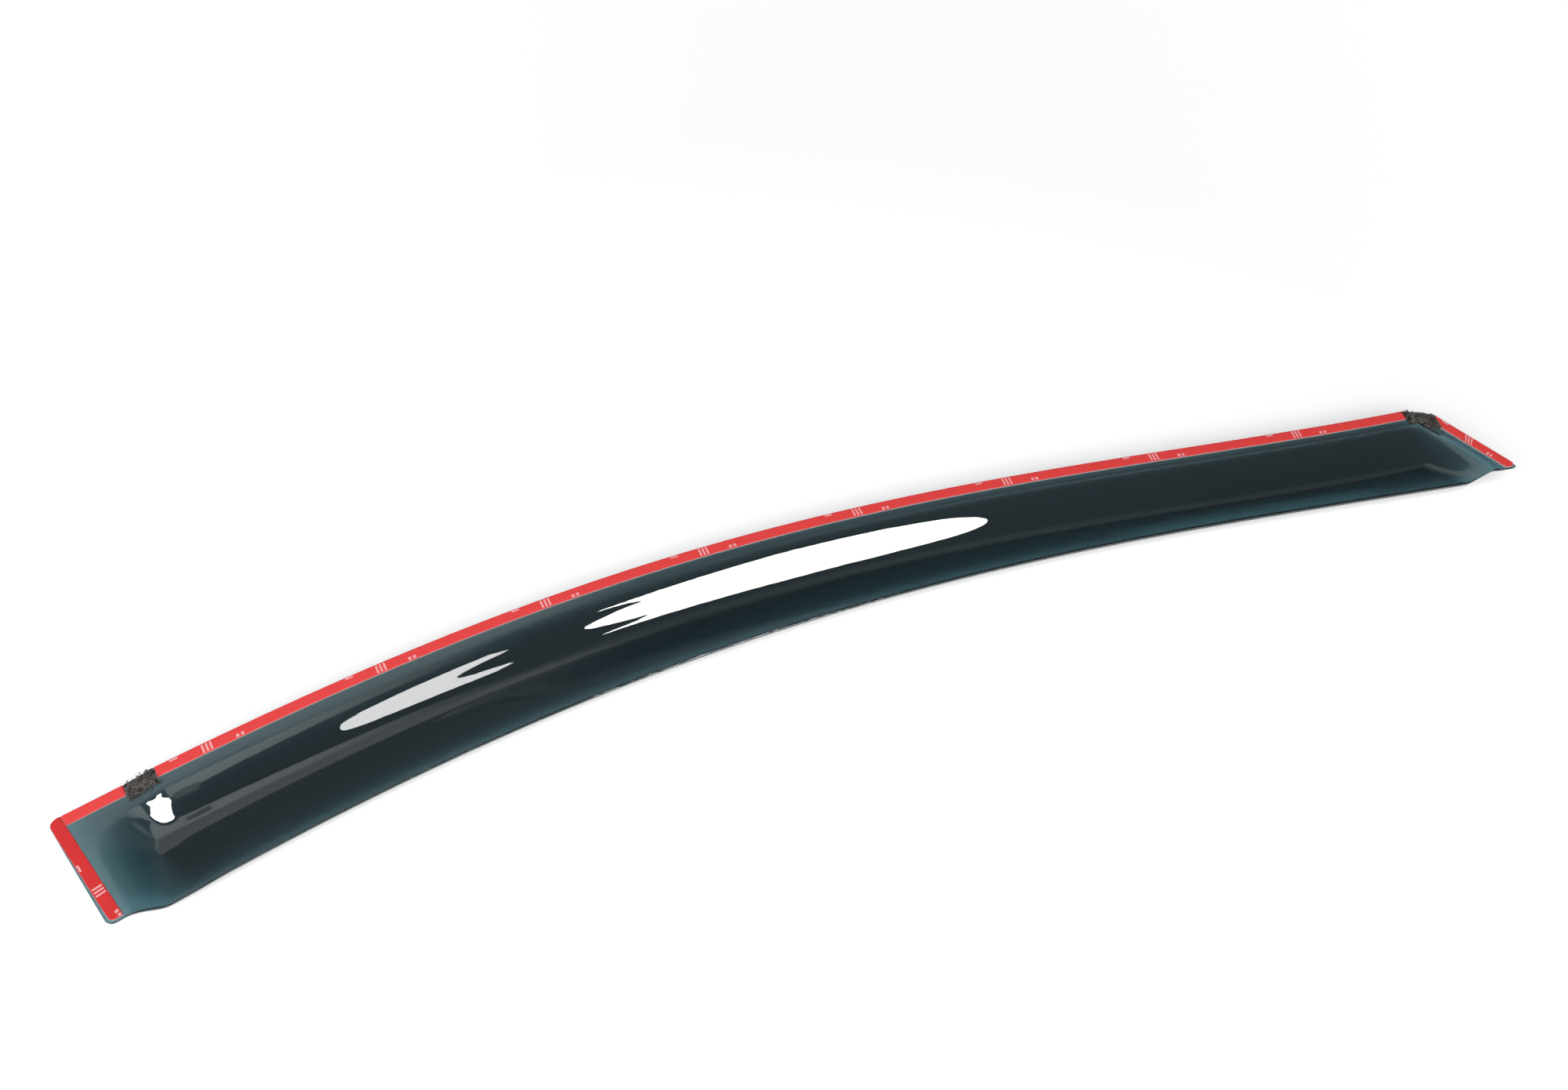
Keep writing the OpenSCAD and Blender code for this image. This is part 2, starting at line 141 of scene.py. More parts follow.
def from_rear(x, y):
    return (x - REAR_TOP[0]) * REAR_IN[0] + (y - REAR_TOP[1]) * REAR_IN[1]


def wall_fall(d):
    """Drop of the wall at plan distance d from the inner edge of the flange."""
    power = WALL_RUN / WALL_STEEP_AT
    t = np.clip(d / WALL_RUN, 0, 1)
    return FLANGE_HEIGHT * (1 - (1 - t) ** power * (1 + power * t))


def round_max(a, b, k):
    """The higher of two heights, blended where they differ by less than k."""
    h = np.maximum(k - np.abs(a - b), 0) / k
    return np.maximum(a, b) + h * h * k / 4


def section_level(x, y):
    """Height of the section of flange, wall, crease and lip, away from the ends."""
    s = from_top(x, y)
    lip = s - FLANGE_WIDTH - WALL_RUN
    lip_level = lip_edge_rise(x) * lip / (lip + from_free(x, y))
    return round_max(FLANGE_HEIGHT - wall_fall(s - FLANGE_WIDTH), lip_level, CREASE_BLEND)


def ramp(t):
    """Slope from 0 to 1 that starts and ends in soft bends."""
    slope = 1 / (1 - RAMP_BEND / 2 - FOOT_BEND / 2)
    start = slope * t * t / (2 * RAMP_BEND)
    middle = slope * (t - RAMP_BEND / 2)
    foot = 1 - slope * (1 - t) ** 2 / (2 * FOOT_BEND)
    return np.select([t <= 0, t < RAMP_BEND, t < 1 - FOOT_BEND, t < 1], [0, start, middle, foot], 1)


def inner_level(x, y):
    """Height of the sheet's inner face over the channel floor line."""
    s = from_top(x, y)
    across = s / (s + from_free(x, y))
    front_foot = FRONT_FOOT_TOP + (FRONT_FOOT_LOW - FRONT_FOOT_TOP) * across
    rear_foot = REAR_FOOT_TOP + (REAR_FOOT_LOW - REAR_FOOT_TOP) * across
    e0, e1 = from_front(x, y), from_rear(x, y)
    share = ramp((e0 - FRONT_FLANGE) / (front_foot - FRONT_FLANGE))
    share = share * ramp((e1 - REAR_FLANGE) / (rear_foot - REAR_FLANGE))
    depth = share * (FLANGE_HEIGHT - section_level(x, y))
    flange = (
        FLANGE_HEIGHT
        - FRONT_STEP * (1 - ease((e0 - FRONT_STEP_AT) / FRONT_STEP_LENGTH))
        - REAR_STEP * (1 - ease((e1 - REAR_FLANGE) / REAR_STEP_LENGTH))
    )
    return flange * (1 - depth / FLANGE_HEIGHT)


def inner_normal(x, y):
    probe = 0.3 * MM
    slopes = [
        inner_level(x - probe, y) - inner_level(x + probe, y),
        inner_level(x, y - probe) - inner_level(x, y + probe),
        np.full_like(x, 2 * probe),
    ]
    normal = np.stack(slopes, -1)
    return normal / np.linalg.norm(normal, axis=-1, keepdims=True)


# Grid of plan points that ends on the edges and on the corner arcs
FRONT_ZONE, REAR_ZONE = FRONT_STEP_AT + FRONT_STEP_LENGTH, REAR_FOOT_LOW + 4 * MM
FREE_ZONE = TIP_R + 2 * MM
FRONT_CELLS, MIDDLE_CELLS, REAR_CELLS = 64, 230, 36
FLANGE_CELLS, WALL_CELLS, LIP_CELLS, FREE_CELLS = 12, 30, 14, 5
ROUND_ROWS = EDGE_ROUND * np.array([0, 0.08, 0.25, 0.55, 1])

# Growth of the distance from each end edge, per share of the way along the top edge
RATE_STEP = 0.01
front_x = FRONT_TOP[0] + RATE_STEP * (REAR_TOP[0] - FRONT_TOP[0])
rear_x = REAR_TOP[0] - RATE_STEP * (REAR_TOP[0] - FRONT_TOP[0])
front_rate = from_front(front_x, top_y(front_x)) / RATE_STEP
rear_rate = from_rear(rear_x, top_y(rear_x)) / RATE_STEP


def spread(a, b, cells):
    return np.linspace(a, b, cells + 1)[1:]


def stations():
    """Shares of the way along the sheet, closer together towards both ends."""
    front = np.concatenate([ROUND_ROWS, spread(EDGE_ROUND, FRONT_ZONE, FRONT_CELLS)]) / front_rate
    rear = np.concatenate([ROUND_ROWS, spread(EDGE_ROUND, REAR_ZONE, REAR_CELLS)]) / rear_rate
    middle = spread(front[-1], 1 - rear[-1], MIDDLE_CELLS)
    return np.concatenate([front, middle, (1 - rear)[-2::-1]])


def rows(depth):
    """Distances from the top edge where the sheet is depth wide."""
    floor_line = FLANGE_WIDTH + WALL_RUN
    return np.concatenate(
        [
            ROUND_ROWS,
            spread(EDGE_ROUND, FLANGE_WIDTH, FLANGE_CELLS),
            spread(FLANGE_WIDTH, floor_line, WALL_CELLS),
            spread(floor_line, depth - FREE_ZONE, LIP_CELLS),
            spread(depth - FREE_ZONE, depth - EDGE_ROUND, FREE_CELLS),
            (depth - ROUND_ROWS)[-2::-1],
        ]
    )


def to_corner(a, b, r):
    """Moves a pair of distances near a corner onto the corner's arc."""
    p, q = 1 - a / r, 1 - b / r
    near = (p > 0) & (q > 0)
    p, q = np.where(near, p, 0), np.where(near, q, 0)
    a_on_arc = (1 - p * np.sqrt(1 - q * q / 2)) * r
    b_on_arc = (1 - q * np.sqrt(1 - p * p / 2)) * r
    return np.where(near, a_on_arc, a), np.where(near, b_on_arc, b)


def edge_points(along):
    """Points of the top edge and of the free edge at shares of the way along the sheet."""
    top_x = FRONT_TOP[0] + (REAR_TOP[0] - FRONT_TOP[0]) * along
    free_x = FRONT_LOW[0] + (REAR_TIP[0] - FRONT_LOW[0]) * along
    return top_x, top_y(top_x), free_x, free_y(free_x)


def plan_grid():
    """Plan points of the sheet and their distances from its rim."""
    along = stations()
    x0, y0, x1, y1 = edge_points(along)
    depth = np.hypot(x1 - x0, y1 - y0)
    down = np.array([rows(d) for d in depth])
    along = np.repeat(along[:, None], down.shape[1], 1)
    depth = np.repeat(depth[:, None], down.shape[1], 1)
    at_front, at_top = along < 0.5, down < depth / 2
    a = np.where(at_front, along * front_rate, (1 - along) * rear_rate)
    b = np.minimum(down, depth - down)
    radius = np.where(at_front, FRONT_CORNER_R, np.where(at_top, REAR_CORNER_R, TIP_R))
    a_moved, b_moved = to_corner(a, b, radius)
    along = np.where(at_front, a_moved / front_rate, 1 - a_moved / rear_rate)
    share = np.where(at_top, b_moved, depth - b_moved) / depth
    x0, y0, x1, y1 = edge_points(along)
    return x0 + (x1 - x0) * share, y0 + (y1 - y0) * share, np.minimum(a, b)


PLAN_X, PLAN_Y, RIM_DISTANCE = plan_grid()
INNER_FACE = np.stack([PLAN_X, PLAN_Y, inner_level(PLAN_X, PLAN_Y)], -1)
INNER_NORMAL = inner_normal(PLAN_X, PLAN_Y)
shell_low, shell_high = (np.array(v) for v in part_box("visor_shell"))
# From the plan's own origin to the frame's
SHIFT = shell_low - np.minimum(INNER_FACE, INNER_FACE - SHEET * INNER_NORMAL).min((0, 1))

UV_NAME = "along"


def add_to_scene(name, data):
    item = bpy.data.objects.new(name, data)
    bpy.context.scene.collection.objects.link(item)
    return item


def new_piece(name, points, faces, node, uv=None):
    """A smooth mesh piece that rides on the part in place of a node."""
    mesh = bpy.data.meshes.new(name)
    mesh.from_pydata([tuple(p) for p in points], [], [tuple(f) for f in faces])
    if uv is not None:
        layer = mesh.uv_layers.new(name=UV_NAME)
        loops = np.empty(len(mesh.loops), np.int32)
        mesh.loops.foreach_get("vertex_index", loops)
        layer.data.foreach_set("uv", np.asarray(uv, np.float32)[loops].ravel())
    mesh.shade_smooth()
    mesh.update()
    piece = add_to_scene(name, mesh)
    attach(piece, "root")
    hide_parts(node)
    return piece


def paint(piece, *materials):
    piece.data.materials.clear()
    for material in materials:
        piece.data.materials.append(material)


def closed_grid(upper, lower):
    """Points and faces of the closed solid between two grids; its side faces come last."""
    n, m = upper.shape[:2]
    index = np.arange(n * m).reshape(n, m)
    corners = [index[:-1, :-1], index[:-1, 1:], index[1:, 1:], index[1:, :-1]]
    cells = np.stack(corners, -1).reshape(-1, 4)
    rim = np.concatenate([index[0, :-1], index[:-1, -1], index[-1, :0:-1], index[:0:-1, 0]])
    ahead = np.roll(rim, -1)
    side = np.stack([rim, rim + n * m, ahead + n * m, ahead], -1)
    points = np.concatenate([upper.reshape(-1, 3), lower.reshape(-1, 3)])
    return points, np.concatenate([cells, cells[:, ::-1] + n * m, side])


def build_shell():
    """The sheet with rounded edges, whose sides have a look of their own."""
    inset = np.clip(EDGE_ROUND - RIM_DISTANCE, 0, EDGE_ROUND)
    drop = (EDGE_ROUND - np.sqrt(EDGE_ROUND**2 - inset**2))[..., None]
    inner = INNER_FACE - drop * INNER_NORMAL + SHIFT
    outer = INNER_FACE - (SHEET - drop) * INNER_NORMAL + SHIFT
    points, faces = closed_grid(inner, outer)
    points = np.clip(points, shell_low, shell_high)
    sheet = new_piece("smoked_sheet", points, faces, "visor_shell")
    paint(sheet, acrylic_material(), cut_edge_material())
    side_faces = PLAN_X.shape[0] * 2 + PLAN_X.shape[1] * 2 - 4
    slots = np.zeros(len(faces), np.int32)
    slots[-side_faces:] = 1
    sheet.data.polygons.foreach_set("material_index", slots)


# Places beside the edges
SOLVE_STEPS, ARC_POINTS = 12, 6


def off_top(x, s):
    x = np.asarray(x, float)
    t = angle_of(top_y, x)
    return np.stack([x + s * np.sin(t), top_y(x) - s * np.cos(t)], -1)


def off_free(x, d):
    x = np.asarray(x, float)
    t = angle_of(free_y, x)
    return np.stack([x - d * np.sin(t), free_y(x) + d * np.cos(t)], -1)


def x_at(place, offset, distance, e, start, inward):
    """The x at which a point beside an edge is e from an end edge."""
    x = start
    for _ in range(SOLVE_STEPS):
        x = x + inward * (e - float(distance(*place(x, offset))))
    return x


def top_x_front(e, s):
    return x_at(off_top, s, from_front, e, FRONT_TOP[0], 1)


def top_x_rear(e, s):
    return x_at(off_top, s, from_rear, e, REAR_TOP[0], -1)


def rear_at(q, e):
    return REAR_TOP + q * REAR_DOWN + e * REAR_IN


def resampled(points, n):
    """n points evenly along a line of points, and its length."""
    points = np.asarray(points, float)
    steps = np.r_[0, np.cumsum(np.linalg.norm(np.diff(points, axis=0), axis=1))]
    at = np.linspace(0, steps[-1], n)
    return np.stack([np.interp(at, steps, points[:, k]) for k in range(2)], -1), steps[-1]


def corner_arc(a, c, b, r):
    """Points of the arc that rounds the corner c between its neighbours a and b."""
    ua, ub = (a - c) / np.linalg.norm(a - c), (b - c) / np.linalg.norm(b - c)
    half_angle = math.acos(float(ua @ ub)) / 2
    reach = r / math.tan(half_angle)
    middle = (ua + ub) / np.linalg.norm(ua + ub)
    centre = c + middle * r / math.sin(half_angle)
    start, end = c + ua * reach - centre, c + ub * reach - centre
    turn = math.atan2(start[0] * end[1] - start[1] * end[0], float(start @ end))
    across = np.array([-start[1], start[0]])
    turns = np.linspace(0, turn, ARC_POINTS)
    return [centre + (start * math.cos(t) + across * math.sin(t)) for t in turns]


def wave(u, seed, lengths):
    """Smooth uneven wave along u, between about -1 and 1."""
    rng = random.Random(seed)
    total = np.zeros_like(u)
    for length in lengths:
        total = total + np.sin(2 * math.pi * (u / length + rng.random())) / len(lengths)
    return total


# Runs of tape
MAIN_POINTS, FRONT_POINTS = 400, 24
main_start_x = top_x_front(FRONT_ZONE + TAPE_GAP, 0)
main_end_x = top_x_rear(REAR_FLANGE + REAR_STEP_LENGTH + TAPE_GAP, 0)


def top_main_sides():
    xs = np.linspace(main_start_x, main_end_x, MAIN_POINTS)
    return off_top(xs, TAPE_OUT), off_top(xs, TAPE_IN)


def top_front_sides():
    end_x = top_x_front(FRONT_STEP_AT - TAPE_GAP, 0)
    e = TAPE_IN + TAPE_GAP
    return tuple(
        off_top(np.linspace(top_x_front(e, s), end_x, FRONT_POINTS), s) for s in (TAPE_OUT, TAPE_IN)
    )


def front_end_sides():
    e = TAPE_OUT + FRONT_MARGIN_GAIN
    inner_x, outer_x = (
        x_at(off_free, FRONT_LOW_GAP, from_front, d, FRONT_LOW[0], 1) for d in (e + TAPE_WIDTH, e)
    )
    top_outer = off_top(top_x_front(TAPE_OUT, TAPE_OUT), TAPE_OUT)
    top_inner = off_top(top_x_front(TAPE_IN, TAPE_OUT), TAPE_OUT)
    low_inner, low_outer = off_free(inner_x, FRONT_LOW_GAP), off_free(outer_x, FRONT_LOW_GAP)
    outer = corner_arc(top_inner, top_outer, low_outer, FRONT_CORNER_R - TAPE_MARGIN / 2)
    outer += corner_arc(top_outer, low_outer, low_inner, FRONT_CORNER_R - FRONT_LOW_GAP)
    return outer, [top_inner, low_inner]


def rear_end_sides():
    low_outer, low_inner = (
        off_free(x_at(off_free, REAR_LOW_GAP, from_rear, d, REAR_TIP[0], -1), REAR_LOW_GAP)
        for d in (TAPE_OUT, TAPE_IN)
    )
    top_outer = rear_at(REAR_RUN_START, TAPE_OUT)
    top_inner = rear_at(REAR_RUN_START + REAR_RUN_SLANT, TAPE_IN)
    arc = corner_arc(top_outer, low_outer, low_inner, TIP_R - TAPE_MARGIN)
    return [top_outer, *arc], [top_inner, low_inner]


# Release liner: its cells and the trim of its sides, then in shares of its width and thickness
# the reach of a side, the fall of the face there, the fall by ripple, and what of it the middle has
LINER_CELL, LINER_LEAST_POINTS, LINER_TRIM = 1.2 * MM, 24, 0.10 * MM
LINER_SIDE, SIDE_FALL, RIPPLE_FALL, RIPPLE_IN_MIDDLE = 0.06, 0.45, 0.3, 0.4
LINER_ACROSS = np.array([0, 0.02, 0.06, 0.2, 0.4, 0.6, 0.8, 0.94, 0.98, 1])
# Lengths of the waves in metres: uneven outer side, uneven inner side and ripple
OUTER_WAVES, INNER_WAVES = [0.031, 0.013, 0.0071], [0.027, 0.011, 0.0063]
RIPPLE_WAVES = [0.023, 0.0091, 0.0044]


def build_liner(run, outer, inner, seed):
    """Release liner as a thin ribbon with slightly uneven edges and a faint ripple."""
    node = "liner_" + run
    low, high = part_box(node)
    length = resampled(outer, 2)[1]
    n = max(LINER_LEAST_POINTS, int(length / LINER_CELL))
    outer, inner = resampled(outer, n)[0], resampled(inner, n)[0]
    u, v = np.linspace(0, length, n), LINER_ACROSS[None, :]
    width = np.linalg.norm(inner - outer, axis=1)
    trim_out = (LINER_TRIM * (1 + wave(u, seed, OUTER_WAVES)) / width)[:, None]
    trim_in = (LINER_TRIM * (1 + wave(u, seed + 1, INNER_WAVES)) / width)[:, None]
    share = trim_out * (1 - v) + (1 - trim_in) * v
    plan = outer[:, None] + (inner - outer)[:, None] * share[..., None] + SHIFT[:2]
    thick = high.z - low.z
    side = 1 - np.clip(np.minimum(v, 1 - v) / LINER_SIDE, 0, 1)
    ripple = 0.5 * (1 + wave(u, seed + 2, RIPPLE_WAVES))[:, None]
    ripple = ripple * (RIPPLE_IN_MIDDLE + (1 - RIPPLE_IN_MIDDLE) * np.abs(2 * v - 1))
    top = high.z - thick * (SIDE_FALL * side**2 + RIPPLE_FALL * ripple)
    upper = np.concatenate([plan, top[..., None]], -1)
    lower = np.concatenate([plan, np.full_like(top, low.z)[..., None]], -1)
    points, faces = closed_grid(upper, lower)
    uv = np.stack(np.broadcast_arrays(u[:, None], v), -1).reshape(-1, 2)
    return new_piece("red_liner_" + run, points, faces, node, np.concatenate([uv, uv]))


FRONT_PAD_POINTS, REAR_PAD_POINTS = 12, 6


def front_pad_sides():
    start_x, end_x = top_x_front(FRONT_STEP_AT, 0), main_start_x - TAPE_GAP
    xs = np.linspace(start_x, end_x, FRONT_PAD_POINTS)
    return off_top(xs, TAPE_MARGIN), off_top(xs, TAPE_MARGIN + FRONT_PAD_WIDTH)


def rear_pad_sides():
    """Sides of the pad that turns the rear corner."""
    start_x = main_end_x + TAPE_GAP
    turn_x = top_x_rear(REAR_CORNER_R, TAPE_MARGIN)
    outer = list(off_top(np.linspace(start_x, turn_x, REAR_PAD_POINTS), TAPE_MARGIN))
    outer += [
        rear_at(REAR_RUN_START - TAPE_GAP, TAPE_OUT),
        rear_at(REAR_RUN_START + REAR_RUN_SLANT - TAPE_GAP, TAPE_IN),
    ]
    start = off_top(start_x, TAPE_MARGIN + REAR_PAD_WIDTH)
    knee = off_top(start_x + REAR_PAD_LEG, TAPE_MARGIN + REAR_PAD_WIDTH)
    return outer, [start, knee, knee + REAR_PAD_LEG * REAR_DOWN]


# Foam: size of a cell of the grid, width of the ragged rim and of the crown's side
PAD_CELL, RAGGED_RIM, CROWN_SIDE = 0.3 * MM, 2.5 * MM, 2.2 * MM
# Shares of the pad's thickness at its rim, and added in its middle; share of the roughness at the rim
RIM_SHARE, CROWN_SHARE, ROUGH_SHARE = 0.42, 0.42, 0.4
ROUGHNESS, RAGGEDNESS = 0.42 * MM, 0.7 * MM
RIM_DRAWN_IN, LEAST_RISE = 0.25 * MM, 0.25 * MM
# Waves per mm of the foam's noise, and the strength of each; each pad has a slice of its own
ROUGH_NOISE, RAGGED_NOISE = ((1.1, 1.0), (2.3, 0.7)), ((0.55, 1.0), (1.7, 0.6))
NOISE_SLICE = 0.1


def foam_noise(plan, seed):
    """Rough height and ragged sideways shift at each point of a grid."""
    # The vector noise is offset by this seed
    noise.seed_set(seed)
    n, m = plan.shape[:2]
    rough, ragged = np.empty((n, m)), np.empty((n, m, 2))
    for i in range(n):
        for j in range(m):
            p = Vector((*plan[i, j], NOISE_SLICE * seed)) / MM
            rough[i, j] = sum(part * noise.noise(p * rate) for rate, part in ROUGH_NOISE)
            shift = sum((part * noise.noise_vector(p * rate) for rate, part in RAGGED_NOISE), Vector())
            ragged[i, j] = shift[:2]
    return rough, ragged


def foam_faces(outer, inner, seed):
    """Upper and lower grid of a pad's rough crowned body with its ragged rim."""
    length = resampled(outer, 2)[1]
    width = float(np.linalg.norm(np.asarray(outer[0]) - np.asarray(inner[0])))
    n, m = int(length / PAD_CELL), int(width / PAD_CELL)
    outer, inner = resampled(outer, n)[0], resampled(inner, n)[0]
    u, v = np.linspace(0, 1, n)[:, None], np.linspace(0, 1, m)[None, :]
    plan = outer[:, None] + (inner - outer)[:, None] * v[..., None]
    rim = np.minimum(np.minimum(u, 1 - u) * length, np.minimum(v, 1 - v) * width)
    rough, ragged = foam_noise(plan, seed)
    out = plan - plan.mean((0, 1))
    out = out / np.linalg.norm(out, axis=-1, keepdims=True)
    fade = 1 - np.clip(rim / RAGGED_RIM, 0, 1)
    plan = plan + fade[..., None] * (RAGGEDNESS * ragged - RIM_DRAWN_IN * out)
    crown = ease(rim / CROWN_SIDE)
    roughness = ROUGHNESS * rough * (ROUGH_SHARE + (1 - ROUGH_SHARE) * crown)
    rise = PAD_THICK * (RIM_SHARE + CROWN_SHARE * crown) + roughness
    level = inner_level(plan[..., 0], plan[..., 1]) + PAD_CLEAR
    under = np.concatenate([plan, level[..., None]], -1) + SHIFT
    lift = np.concatenate([np.zeros_like(plan), np.maximum(rise, LEAST_RISE)[..., None]], -1)
    return under + lift, under


# Strands on a pad: how many, each one's radius, length, steps and sides, and the radius at its tips
STRANDS, STRAND_R, STRAND_LENGTH, STRAND_STEPS = 210, 0.24 * MM, 4.6 * MM, 9
STRAND_SIDES, TIP_SHARE = 4, 0.4
# Ranges that are drawn from: height in radii, turn per mm, slope, and share of the length
HEIGHTS, CURLS, SLOPES, LENGTHS = (-0.5, 1.5), (0.5, 1.5), (-0.1, 0.45), (0.4, 1.1)


def strand_path(rng, start):
    """Points along a curled strand, each with the heading there."""
    p = start.copy()
    p[2] += STRAND_R * rng.uniform(*HEIGHTS)
    heading, curl = rng.uniform(0, 2 * math.pi), rng.choice([-1, 1]) * rng.uniform(*CURLS)
    slope = rng.uniform(*SLOPES)
    step = STRAND_LENGTH * rng.uniform(*LENGTHS) / STRAND_STEPS
    path = []
    for k in range(STRAND_STEPS + 1):
        path.append((p, heading))
        p = p + step * np.array([math.cos(heading), math.sin(heading), 0])
        p[2] += step * slope * (0.5 - k / STRAND_STEPS)
        heading += curl * step / MM
    return path


def add_tube(points, faces, path):
    """Adds the closed tube along a strand's path to the points and faces."""
    first = len(points)
    for k, (p, heading) in enumerate(path):
        side = np.array([-math.sin(heading), math.cos(heading), 0])
        r = STRAND_R * (1 if 0 < k < STRAND_STEPS else TIP_SHARE)
        for t in range(STRAND_SIDES):
            turn = 2 * math.pi * t / STRAND_SIDES
            points.append(p + side * r * math.cos(turn) + np.array([0, 0, r * math.sin(turn)]))
    for k in range(STRAND_STEPS):
        for t in range(STRAND_SIDES):
            a = first + STRAND_SIDES * k + t
            b = first + STRAND_SIDES * k + (t + 1) % STRAND_SIDES
            faces.append((a, b, b + STRAND_SIDES, a + STRAND_SIDES))
    faces.append(tuple(reversed(range(first, first + STRAND_SIDES))))
    faces.append(tuple(range(len(points) - STRAND_SIDES, len(points))))


def strand_mesh(over, seed):
    """Points and faces of the curled strands that lie on the foam."""
    rng = random.Random(seed)
    n, m = over.shape[:2]
    points, faces = [], []
    for _ in range(STRANDS):
        start = over[rng.randrange(1, n - 1), rng.randrange(1, m - 1)]
        add_tube(points, faces, strand_path(rng, start))
    return np.array(points), faces


def build_pad(node, outer, inner, seed):
    """Coarse open foam: a rough body and loose strands on it, which the uv tells apart."""
    over, under = foam_faces(outer, inner, seed)
    body, body_faces = closed_grid(over, under)
    strands, strand_faces = strand_mesh(over, seed)
    faces = [tuple(f) for f in body_faces] + [tuple(k + len(body) for k in f) for f in strand_faces]
    is_strand = np.zeros((len(body) + len(strands), 2))
    is_strand[len(body) :] = 1
    points = np.concatenate([body, strands])
    piece = new_piece(node + "_fuzz", points, faces, node, is_strand)
    return piece


# Materials
def grey(level):
    return (level, level, level, 1)


def opaque(colour):
    """A written colour with full cover; a node's output stays as it is."""
    return colour if isinstance(colour, bpy.types.NodeSocket) else (*colour, 1)


class Nodes:
    """Short way to write the nodes of a material or of the world."""

    def __init__(self, owner, output="ShaderNodeOutputMaterial"):
        owner.use_nodes = True
        self.owner, self.tree = owner, owner.node_tree
        self.tree.nodes.clear()
        self.output = self.add(output)

    def add(self, kind, inputs=None, **values):
        node = self.tree.nodes.new(kind)
        for key, value in values.items():
            setattr(node, key, value)
        for key, value in (inputs or {}).items():
            if isinstance(value, bpy.types.NodeSocket):
                self.tree.links.new(value, node.inputs[key])
            else:
                node.inputs[key].default_value = value
        return node

    def math(self, operation, a, b, c=0.0, clamp=False):
        inputs = {0: a, 1: b, 2: c}
        return self.add("ShaderNodeMath", inputs, operation=operation, use_clamp=clamp).outputs[0]

    def place(self, kind="Object"):
        return self.add("ShaderNodeTexCoord").outputs[kind]

    def split(self, vector):
        return self.add("ShaderNodeSeparateXYZ", {0: vector}).outputs

    def along(self):
        """The uv of the piece, which runs along it."""
        return self.split(self.add("ShaderNodeUVMap", uv_map=UV_NAME).outputs[0])

    def noise(self, scale, detail=3.0, roughness=0.5):
        inputs = {"Scale": scale, "Detail": detail, "Roughness": roughness, "Vector": self.place()}
        return self.add("ShaderNodeTexNoise", inputs).outputs["Fac"]

    def ramp(self, value, stops):
        node = self.add("ShaderNodeValToRGB", {"Fac": value})
        elements = node.color_ramp.elements
        elements[0].position, elements[1].position = stops[0][0], stops[-1][0]
        elements[0].color, elements[1].color = opaque(stops[0][1]), opaque(stops[-1][1])
        for position, colour in stops[1:-1]:
            elements.new(position).color = opaque(colour)
        return node.outputs["Color"]

    def between(self, value, start, end, low, high, kind="SMOOTHSTEP"):
        """low up to the start, high from the end on, and a slope between."""
        inputs = {0: value, 1: start, 2: end, 3: low, 4: high}
        return self.add("ShaderNodeMapRange", inputs, interpolation_type=kind).outputs[0]

    def mix(self, factor, a, b):
        """Mix of two colours, which are inputs 6 and 7 and output 2 of this node."""
        inputs = {0: factor, 6: opaque(a), 7: opaque(b)}
        return self.add("ShaderNodeMix", inputs, data_type="RGBA").outputs[2]

    def mix_shaders(self, factor, a, b):
        inputs = {0: factor, 1: a.outputs[0], 2: b.outputs[0]}
        return self.add("ShaderNodeMixShader", inputs)

    def add_shaders(self, a, b):
        return self.add("ShaderNodeAddShader", {0: a.outputs[0], 1: b.outputs[0]})

    def bump(self, height, distance):
        inputs = {"Height": height, "Distance": distance, "Strength": 1.0}
        return self.add("ShaderNodeBump", inputs).outputs["Normal"]

    def band(self, value, low, high, soft):
        """1 where value lies between low and high, with soft sides."""
        up = self.math("DIVIDE", self.math("SUBTRACT", value, low), soft, clamp=True)
        down = self.math("DIVIDE", self.math("SUBTRACT", high, value), soft, clamp=True)
        return self.math("MULTIPLY", up, down)

    def shown(self, shader, socket="Surface"):
        """Sends a shader to the output, and gives the material or world."""
        self.tree.links.new(shader.outputs[0], self.output.inputs[socket])
        return self.owner


def new_look(name):
    return Nodes(bpy.data.materials.new(name))


ACRYLIC_IOR, ACRYLIC_ROUGHNESS = 1.49, 0.004
WAVE_SCALE, WAVE_DETAIL, WAVE_DEPTH = 20.0, 1.0, 0.006 * MM
# Share of light that passes the sheet once, for red, green and blue
SMOKE_PASS = (0.14, 0.30, 0.35)
# Share that passes each face for shadows and soft light, and what dust and fine scratches scatter
LAMP_PASS, HAZE = 0.42, 0.007
DENSITY_MARGIN = 1.02


def acrylic_material():
    """Clear glossy sheet, with the smoke tint as absorption along the way through it."""
    net = new_look("smoked_acrylic_clear")
    glass = net.add(
        "ShaderNodeBsdfPrincipled",
        {
            "Base Color": grey(1.0),
            "Transmission Weight": 1.0,
            "IOR": ACRYLIC_IOR,
            "Roughness": ACRYLIC_ROUGHNESS,
            "Normal": net.bump(net.noise(WAVE_SCALE, WAVE_DETAIL), WAVE_DEPTH),
        },
    )
    clear = net.add_shaders(glass, net.add("ShaderNodeBsdfDiffuse", {"Color": grey(HAZE)}))
    path = net.add("ShaderNodeLightPath").outputs
    open_to_lamps = net.math("MAXIMUM", path["Is Shadow Ray"], path["Is Diffuse Ray"])
    passing = net.add("ShaderNodeBsdfTransparent", {"Color": grey(LAMP_PASS)})
    # Absorption is density times one minus its colour
    depths = [-math.log(t) / SHEET for t in SMOKE_PASS]
    density = max(depths) * DENSITY_MARGIN
    colour = opaque([1 - d / density for d in depths])
    net.shown(net.add("ShaderNodeVolumeAbsorption", {"Color": colour, "Density": density}), "Volume")
    return net.shown(net.mix_shaders(open_to_lamps, clear, passing))


